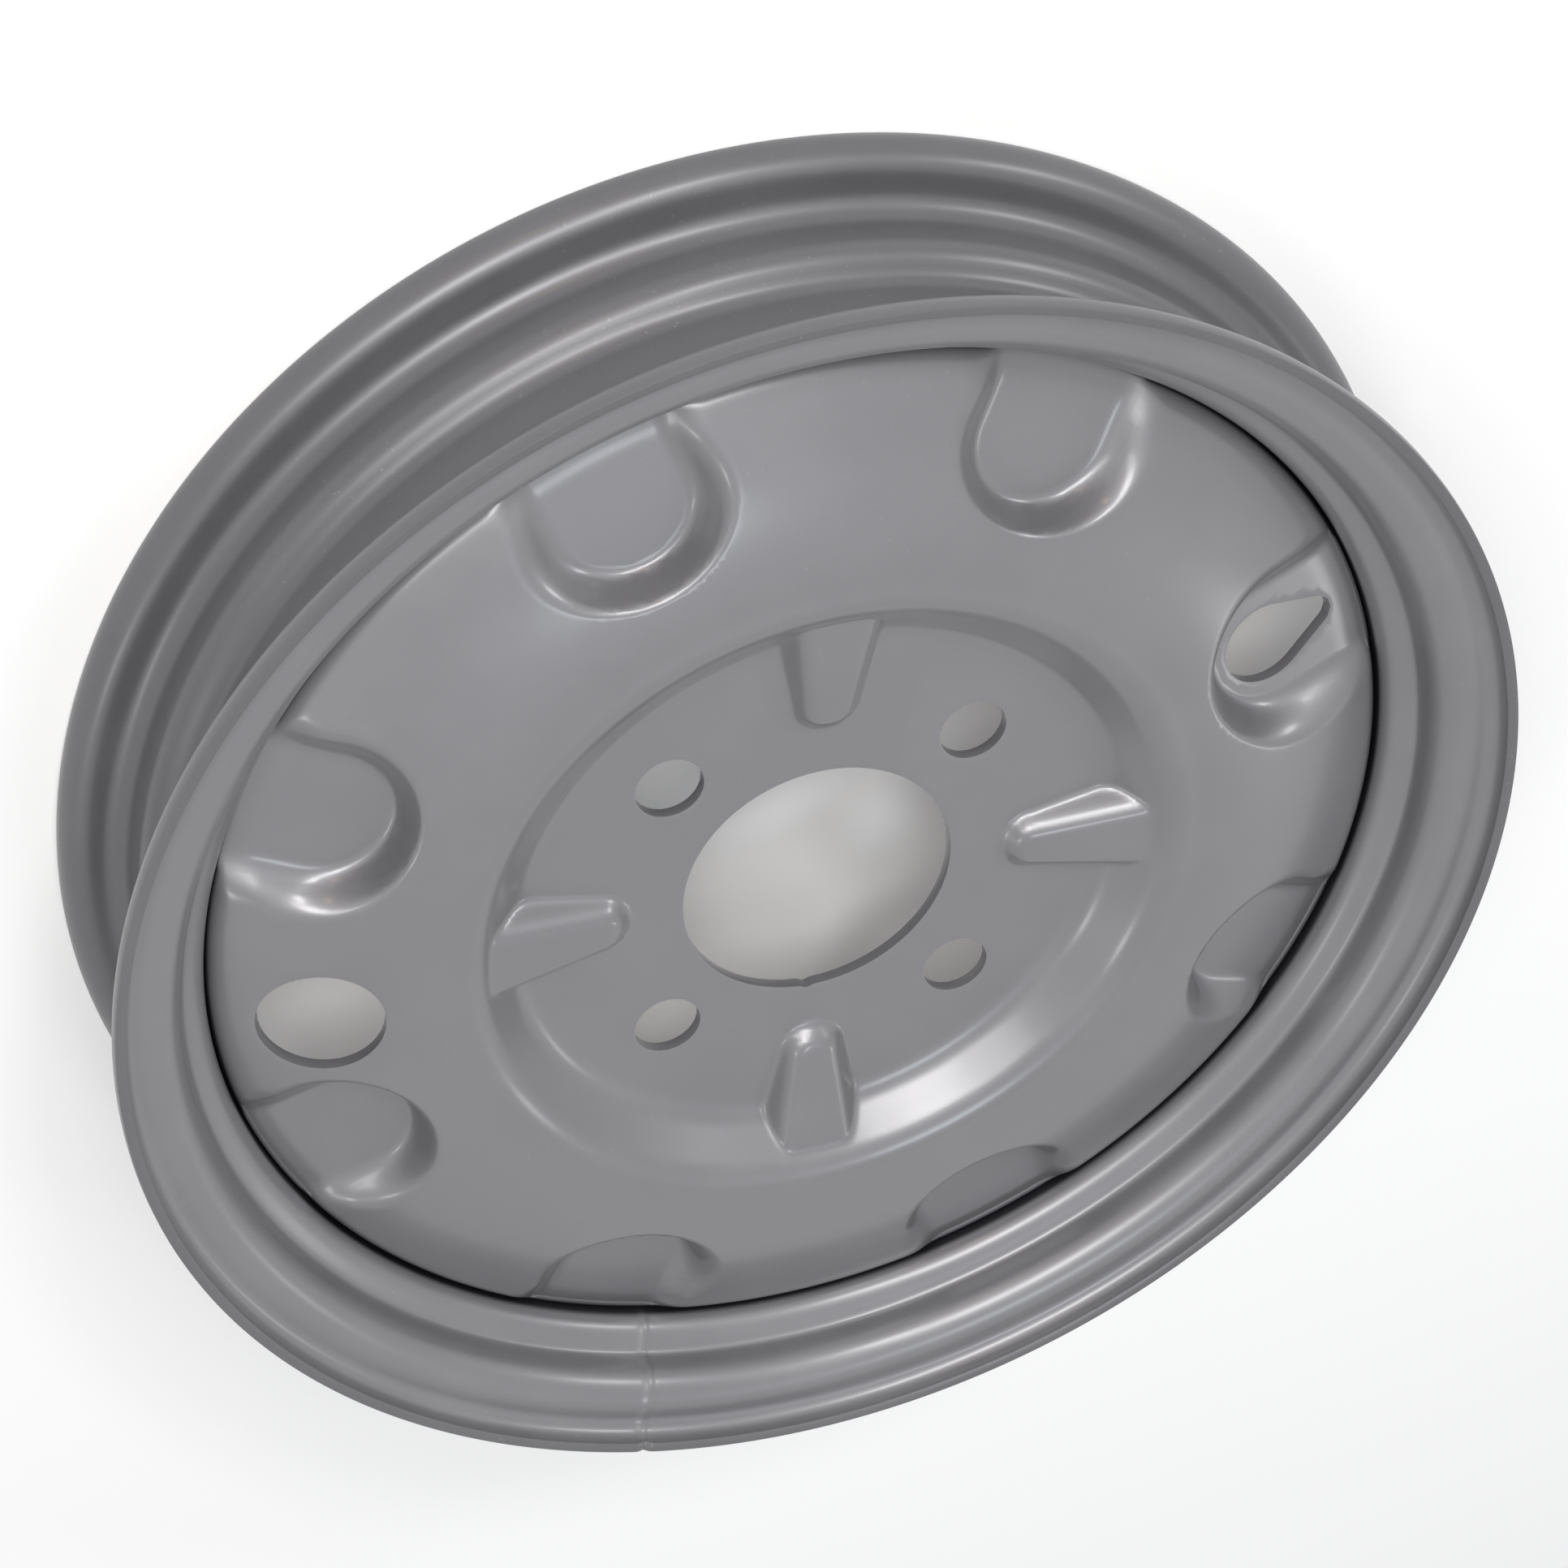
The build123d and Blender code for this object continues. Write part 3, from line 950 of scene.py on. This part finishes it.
studio = {
    "floorHalf": 4.0,
    "floorLevel": -0.0002,
    "floorColour": (0.80, 0.80, 0.80),
    "floorCloud": (0.84, 0.83, 0.82),
    "cloudNoise": (3.0, 2.0, 0.55),  # scale, detail, roughness
    "cloudShare": 0.1,
    "floorLift": 0.24,
    # painted shadow: under the wheel the floor is lifted less, least in the middle, and tinted warm
    "floorLiftUnder": 0.21,
    "underReach": (0.11, 0.16),
    "underShadowTint": (1, 0.965, 0.95),
    "floorLiftCentre": 0.09,
    "centreReach": (0.05, 0.09),
    "worldLevel": 0.33,
    "worldColour": (0.97, 0.98, 1.0),
    "lampAim": (0, 0, 0.05),
}
lamps = {
    # name: azimuth and elevation as seen from the wheel, distance, width, height, power, colour
    "key": (-8, 49, 1.5, 1.05, 0.45, 6.0, (1.0, 0.985, 0.97)),
    "streak": (-30, 50, 1.5, 0.8, 0.42, 7.0, (1.0, 0.99, 0.98)),
    "ribSide": (-51, 40, 1.5, 0.3, 0.24, 4.0, (1.0, 0.99, 0.98)),
    "window": (-98, 28, 1.5, 0.35, 0.3, 3.0, (0.98, 0.99, 1.0)),
    "sideWindow": (66, 45, 1.5, 0.22, 0.22, 1.2, (1.0, 0.99, 0.98)),
    "farWindow": (-167, 37, 1.5, 0.25, 0.25, 0.8, (0.98, 0.99, 1.0)),
    "overhead": (157, 82, 1.5, 0.35, 0.35, 2.0, (0.86, 0.94, 1.0)),
    "warmBulb": (-28, 20, 1.5, 0.09, 0.09, 0.5, (1.0, 0.60, 0.32)),
}
cameraSet = {
    "aim": (0.0291, -0.0157, 0.05),
    "azimuth": 67.33,
    "elevation": 46.39,
    "roll": 152.44,
    "distance": 0.8023,
    "lens": 82.48,
    "sensor": 36,
    "clip": (0.05, 50),
}


def makeFloor():
    s = studio
    p = Paint(bpy.data.materials.new("floorPaint"))
    cloud = p.noise(*s["cloudNoise"])
    colour = p.mix(cloud * s["cloudShare"], (*s["floorColour"], 1), (*s["floorCloud"], 1))
    matt = p.node("ShaderNodeBsdfDiffuse", inputs={"Color": colour})
    # painted shadow: the floor under the wheel, seen through its holes, is lifted less, least in the
    # middle, and tinted warm, so that it looks shaded
    outside = p.band(p.fromAxis(), *s["underReach"])
    beside = p.band(p.fromAxis(), *s["centreReach"])
    strength = s["floorLiftCentre"] + beside * (s["floorLiftUnder"] - s["floorLiftCentre"])
    strength = strength + outside * (s["floorLift"] - s["floorLiftUnder"])
    tint = p.mix(outside, (*s["underShadowTint"], 1), (1, 1, 1, 1))
    bright = p.node("ShaderNodeEmission", inputs={"Color": tint, "Strength": 1.0})
    nothing = p.node("ShaderNodeEmission", inputs={"Strength": 0.0})
    lift = p.node("ShaderNodeMixShader", inputs={0: strength, 1: nothing, 2: bright})
    lift = p.node("ShaderNodeMixShader", inputs={0: p.seen(), 1: nothing, 2: lift})
    both = p.node("ShaderNodeAddShader", inputs={0: matt, 1: lift})
    half, level = s["floorHalf"], s["floorLevel"]
    mesh = bpy.data.meshes.new("floor")
    mesh.from_pydata(
        [(-half, -half, level), (half, -half, level), (half, half, level), (-half, half, level)],
        [],
        [(0, 1, 2, 3)],
    )
    mesh.materials.append(p.finishWith(both))
    floor = bpy.data.objects.new("floor", mesh)
    bpy.context.scene.collection.objects.link(floor)


def makeWorld():
    s = studio
    p = Paint(bpy.data.worlds.new("studioWorld"), "ShaderNodeOutputWorld")
    colours = ((*s["worldColour"], 1), s["worldLevel"]), ((1, 1, 1, 1), 1.0)
    light, white = (
        p.node("ShaderNodeBackground", inputs={"Color": colour, "Strength": strength})
        for colour, strength in colours
    )
    shown = p.node("ShaderNodeMixShader", inputs={0: p.seen(), 1: light, 2: white})
    bpy.context.scene.world = p.finishWith(shown)


def makeLamps():
    aim = Vector(studio["lampAim"])
    for name, (azimuth, elevation, distance, width, height, power, colour) in lamps.items():
        a, e = math.radians(azimuth), math.radians(elevation)
        away = Vector((math.cos(a) * math.cos(e), math.sin(a) * math.cos(e), math.sin(e)))
        light = bpy.data.lights.new(name, "AREA")
        light.shape = "ELLIPSE"
        light.size = width
        light.size_y = height
        light.energy = power
        light.color = colour
        lamp = bpy.data.objects.new(name, light)
        lamp.location = aim + away * distance
        lamp.rotation_mode = "QUATERNION"
        lamp.rotation_quaternion = away.to_track_quat("Z", "Y")
        bpy.context.scene.collection.objects.link(lamp)


def makeCamera():
    s = cameraSet
    a, e = math.radians(s["azimuth"]), math.radians(s["elevation"])
    back = Vector((math.sin(a) * math.cos(e), -math.cos(a) * math.cos(e), math.sin(e)))
    view = bpy.data.cameras.new("camera")
    view.lens = s["lens"]
    view.sensor_width = s["sensor"]
    view.clip_start, view.clip_end = s["clip"]
    camera = bpy.data.objects.new("camera", view)
    side = Vector((0, 0, 1)).cross(back).normalized()
    up = back.cross(side)
    turn = Matrix((side, up, back)).transposed().to_4x4()
    roll = Matrix.Rotation(math.radians(s["roll"]), 4, "Z")
    camera.matrix_world = Matrix.Translation(Vector(s["aim"]) + back * s["distance"]) @ turn @ roll
    bpy.context.scene.collection.objects.link(camera)
    bpy.context.scene.camera = camera


makeFloor()
makeWorld()
makeLamps()
makeCamera()
bpy.context.scene.view_settings.view_transform = "Standard"
print("stage ready")
